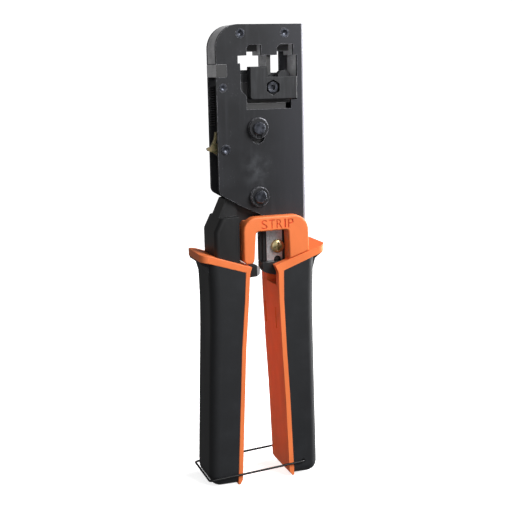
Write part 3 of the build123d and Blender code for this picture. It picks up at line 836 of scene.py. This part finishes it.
class CRIMPER_OT_dies(bpy.types.Operator):
    """Finish the ram, the dies and the die plate, and turn the hex socket screw"""
    bl_idname = "crimper.dies"
    bl_label = "Ram and dies"

    def execute(self, context):
        sizes = context.scene.crimper_sizes
        for node in ("ram", "die_left", "die_right"):
            finish_node(node, sizes.edge_small)
        finish_node("die_plate", sizes.edge_small)
        low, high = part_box("die_screw")
        centre = middle("die_screw")
        front = low.y / MM
        head = (high.x - low.x) / 2 / MM
        rows = face_rows(head - 0.3, 0.03, front) + [
            (head, front + 0.3), (head, front + 1.7), (1.5, front + 1.7), (1.5, high.y / MM)]
        screw = turned(
            "die_screw_turned", (centre.x, centre.z), np.array(rows) * MM, sizes.columns,
            hex_recess(1.08, 1.1))
        stand_for(screw, "die_screw")
        return {"FINISHED"}


class CRIMPER_OT_toggle(bpy.types.Operator):
    """Finish the links, lever, pawl, release lever and pawl spring"""
    bl_idname = "crimper.toggle"
    bl_label = "Toggle and ratchet"

    def execute(self, context):
        sizes = context.scene.crimper_sizes
        for node in ("toggle_links", "lever", "pawl"):
            finish_node(node, sizes.edge_small)
        finish_node("release_lever", sizes.edge_small)
        finish_node("pawl_spring", 0.0)
        return {"FINISHED"}


class CRIMPER_OT_handles(bpy.types.Operator):
    """Finish both rubber grips, their plastic shells and the neck"""
    bl_idname = "crimper.handles"
    bl_label = "Handles"

    def execute(self, context):
        sizes = context.scene.crimper_sizes
        for node in ("moving_grip", "fixed_grip", "moving_shell", "fixed_shell", "neck"):
            finish_node(node, sizes.edge_plastic)
        return {"FINISHED"}


class CRIMPER_OT_strip_station(bpy.types.Operator):
    """Sink the word into the strip guide, and finish the blade, its block and its cross-head screw"""
    bl_idname = "crimper.strip_station"
    bl_label = "Strip station"

    def execute(self, context):
        sizes = context.scene.crimper_sizes
        guide = merged_copy("strip_guide", "strip_guide_plain")
        letters = sunk_letters(sizes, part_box("strip_guide")[0].y)
        for letter in letters:
            cut = guide.modifiers.new(letter.name, "BOOLEAN")
            cut.operation = "DIFFERENCE"
            cut.solver = "EXACT"
            cut.object = letter
        bpy.context.view_layer.update()
        marked = applied(guide, "strip_guide_marked")
        for letter in letters:
            bpy.data.objects.remove(letter)
        stand_for(marked, "strip_guide")
        finish_node("blade_block", sizes.edge_small)
        finish_node("strip_blade", 0.05)
        low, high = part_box("blade_screw")
        centre = middle("blade_screw")
        front = low.y / MM
        head = (high.x - low.x) / 2 / MM
        rows = face_rows(head - 0.12, 0.03, front + 0.75, 0.75) + [
            (head, front + 0.95), (head, front + 1.7), (1.25, front + 1.7), (1.25, high.y / MM)]
        screw = turned(
            "blade_screw_turned", (centre.x, centre.z), np.array(rows) * MM, sizes.columns,
            cross_recess(0.46, 1.7, 1.3))
        stand_for(screw, "blade_screw")
        return {"FINISHED"}


def sunk_letters(sizes, front):
    """One solid cutter per letter, spaced over WORD_X and WORD_Z and standing through the guide's front."""
    solids = []
    shares = np.array([0.5 if letter == "I" else 1.0 for letter in sizes.word])
    pitch = (WORD_X[1] - WORD_X[0]) / shares.sum()
    centres = WORD_X[0] + pitch * (np.cumsum(shares) - shares / 2)
    for place, letter in enumerate(sizes.word):
        curve = bpy.data.curves.new("letter", "FONT")
        curve.body = letter
        curve.extrude = 1.0
        curve.resolution_u = 4
        flat = bpy.data.objects.new("letter", curve)
        bpy.context.scene.collection.objects.link(flat)
        bpy.context.view_layer.update()
        mesh = bpy.data.meshes.new_from_object(flat.evaluated_get(bpy.context.evaluated_depsgraph_get()))
        bpy.data.objects.remove(flat)
        co = np.empty(len(mesh.vertices) * 3)
        mesh.vertices.foreach_get("co", co)
        co = co.reshape(-1, 3)
        share = (co - co.min(0)) / np.ptp(co, axis=0)
        width = pitch * (0.24 if letter == "I" else 0.78)
        x = centres[place] + width * (share[:, 0] - 0.5)
        z = WORD_Z[0] + (WORD_Z[1] - WORD_Z[0]) * share[:, 1]
        y = front / MM + sizes.word_depth / MM - share[:, 2] * (sizes.word_depth / MM + 1.0)
        mesh.vertices.foreach_set("co", (np.stack([x, y, z], axis=-1) * MM).ravel())
        shape = bmesh.new()
        shape.from_mesh(mesh)
        bmesh.ops.remove_doubles(shape, verts=shape.verts, dist=SEAM_GAP * MM)
        bmesh.ops.recalc_face_normals(shape, faces=shape.faces)
        shape.to_mesh(mesh)
        shape.free()
        solid = bpy.data.objects.new("letter_%d" % place, mesh)
        bpy.context.scene.collection.objects.link(solid)
        solids.append(solid)
    return solids


class CRIMPER_OT_cutter(bpy.types.Operator):
    """Finish the wire cutter's nub, blade and anvil"""
    bl_idname = "crimper.cutter"
    bl_label = "Wire cutter"

    def execute(self, context):
        sizes = context.scene.crimper_sizes
        for node in ("cutter_nub", "cutter_anvil", "cutter_blade"):
            finish_node(node, sizes.edge_small)
        return {"FINISHED"}


class CRIMPER_OT_latch(bpy.types.Operator):
    """Bend the latch wire from one length of round wire"""
    bl_idname = "crimper.latch"
    bl_label = "Latch wire"

    def execute(self, context):
        low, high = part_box("latch_wire")
        joint = next(j for j in frame["joints"] if j["name"] == "latch_hinge")
        pivot = np.array(joint["pos_m"])
        radius = LATCH_WIRE * MM
        y = high.y - radius
        end = np.array([low.x + radius, 0.0, low.z + radius])
        inner = LATCH_INNER * MM
        corners = [
            (pivot[0], -inner, pivot[2]), (pivot[0], -y, pivot[2]), (end[0], -y, end[2]),
            (end[0], y, end[2]), (pivot[0], y, pivot[2]), (pivot[0], inner, pivot[2])]
        path = rounded_route(corners, LATCH_BEND * MM, 0.8 * MM)
        line = np.array(corners[2]) - np.array(corners[1])
        normal = np.cross(line, (0.0, 1.0, 0.0))
        side = np.tile(normal / np.linalg.norm(normal), (len(path), 1))
        thickness = np.full(len(path), radius)
        thickness[[0, -1]] = radius * 0.6
        stand_for(tube("latch_wire_bent", path, side, thickness, 20), "latch_wire")
        return {"FINISHED"}


def area_light(name, place, target, size, power, colour=(1.0, 1.0, 1.0)):
    """Rectangular soft light at a place, facing a target."""
    lamp = bpy.data.lights.new(name, "AREA")
    lamp.shape = "RECTANGLE"
    lamp.size, lamp.size_y = size
    lamp.energy = power
    lamp.color = colour
    light = bpy.data.objects.new(name, lamp)
    light.location = place
    light.rotation_euler = (Vector(target) - Vector(place)).to_track_quat("-Z", "Y").to_euler()
    bpy.context.scene.collection.objects.link(light)
    return light


class CRIMPER_OT_stage(bpy.types.Operator):
    """Lay the pale floor, hang the soft lights and stand the camera"""
    bl_idname = "crimper.stage"
    bl_label = "Stage"

    def execute(self, context):
        stage = context.scene.crimper_stage
        sweep_radius, back, top = 0.6, 0.9, 2.4
        bend = np.linspace(0, math.pi / 2, 24)
        y = np.concatenate(
            [[-1.6, -0.4, 0.0, 0.5], back + sweep_radius * np.sin(bend), [back + sweep_radius]])
        z = np.concatenate([[0, 0, 0, 0], sweep_radius * (1 - np.cos(bend)), [top]]) - 0.00002
        x = np.linspace(-2.2, 2.2, 12)
        points = np.stack(np.broadcast_arrays(x[None, :], y[:, None], z[:, None]), axis=-1)
        floor = new_piece("floor_paper", points, grid_faces(len(y), len(x), False)[:, ::-1])
        floor.data.materials.append(pale_floor((0.90, 0.90, 0.90)))
        floor.visible_glossy = False
        floor.visible_diffuse = False
        low, high = CAD_BOX
        target = (0.0, 0.0, (low[2] + high[2]) / 2)
        area_light("key", (0.42, -0.55, 0.62), target, (0.45, 0.45), stage.key_power)
        area_light("side_strip", (0.62, 0.10, 0.16), target, (0.12, 0.7), stage.strip_power)
        area_light("fill", (-0.30, -0.80, 0.25), target, (0.6, 0.6), stage.fill_power)
        world = bpy.data.worlds.new("studio")
        world.use_nodes = True
        world.node_tree.nodes["Background"].inputs["Color"].default_value = (1.0, 1.0, 1.0, 1.0)
        world.node_tree.nodes["Background"].inputs["Strength"].default_value = stage.sky
        context.scene.world = world
        context.scene.view_settings.view_transform = "Standard"
        lens = bpy.data.cameras.new("view")
        lens.sensor_width = 36.0
        lens.lens = stage.lens
        camera = bpy.data.objects.new("view", lens)
        yaw, pitch, roll = stage.camera_yaw, stage.camera_pitch, stage.camera_roll
        forward = Vector((math.sin(yaw) * math.cos(pitch), math.cos(yaw) * math.cos(pitch), -math.sin(pitch)))
        level = Vector((math.cos(yaw), -math.sin(yaw), 0.0))
        up = level.cross(forward)
        right = math.cos(roll) * level + math.sin(roll) * up
        turned_up = -math.sin(roll) * level + math.cos(roll) * up
        turn = Matrix((right, turned_up, -forward)).transposed().to_4x4()
        camera.matrix_world = Matrix.Translation(Vector(stage.camera_place)) @ turn
        context.scene.collection.objects.link(camera)
        context.scene.camera = camera
        return {"FINISHED"}


class CRIMPER_PT_panel(bpy.types.Panel):
    """Lists the operators in the order they run"""
    bl_label = "Crimper"
    bl_idname = "CRIMPER_PT_panel"
    bl_space_type = "VIEW_3D"
    bl_region_type = "UI"
    bl_category = "Crimper"

    def draw(self, context):
        for step in STEPS:
            self.layout.operator(step.bl_idname)
        for key in GROUPS:
            group = getattr(context.scene, key)
            box = self.layout.box()
            for name in group.__annotations__:
                box.prop(group, name)


STEPS = (
    CRIMPER_OT_head, CRIMPER_OT_rivets, CRIMPER_OT_pins, CRIMPER_OT_dies, CRIMPER_OT_toggle,
    CRIMPER_OT_handles, CRIMPER_OT_strip_station, CRIMPER_OT_cutter, CRIMPER_OT_latch, CRIMPER_OT_stage)
GROUPS = {
    "crimper_sizes": CRIMPER_PG_sizes, "crimper_colours": CRIMPER_PG_colours,
    "crimper_stage": CRIMPER_PG_stage}


def register():
    for group in GROUPS.values():
        bpy.utils.register_class(group)
    for name, group in GROUPS.items():
        setattr(bpy.types.Scene, name, PointerProperty(type=group))
    for step in STEPS:
        bpy.utils.register_class(step)
    bpy.utils.register_class(CRIMPER_PT_panel)


def unregister():
    bpy.utils.unregister_class(CRIMPER_PT_panel)
    for step in reversed(STEPS):
        bpy.utils.unregister_class(step)
    for name in GROUPS:
        delattr(bpy.types.Scene, name)
    for group in reversed(GROUPS.values()):
        bpy.utils.unregister_class(group)


def main():
    """Runs every operator in order."""
    register()
    for step in STEPS:
        area, name = step.bl_idname.split(".")
        getattr(getattr(bpy.ops, area), name)()


if __name__ == "__main__":
    main()
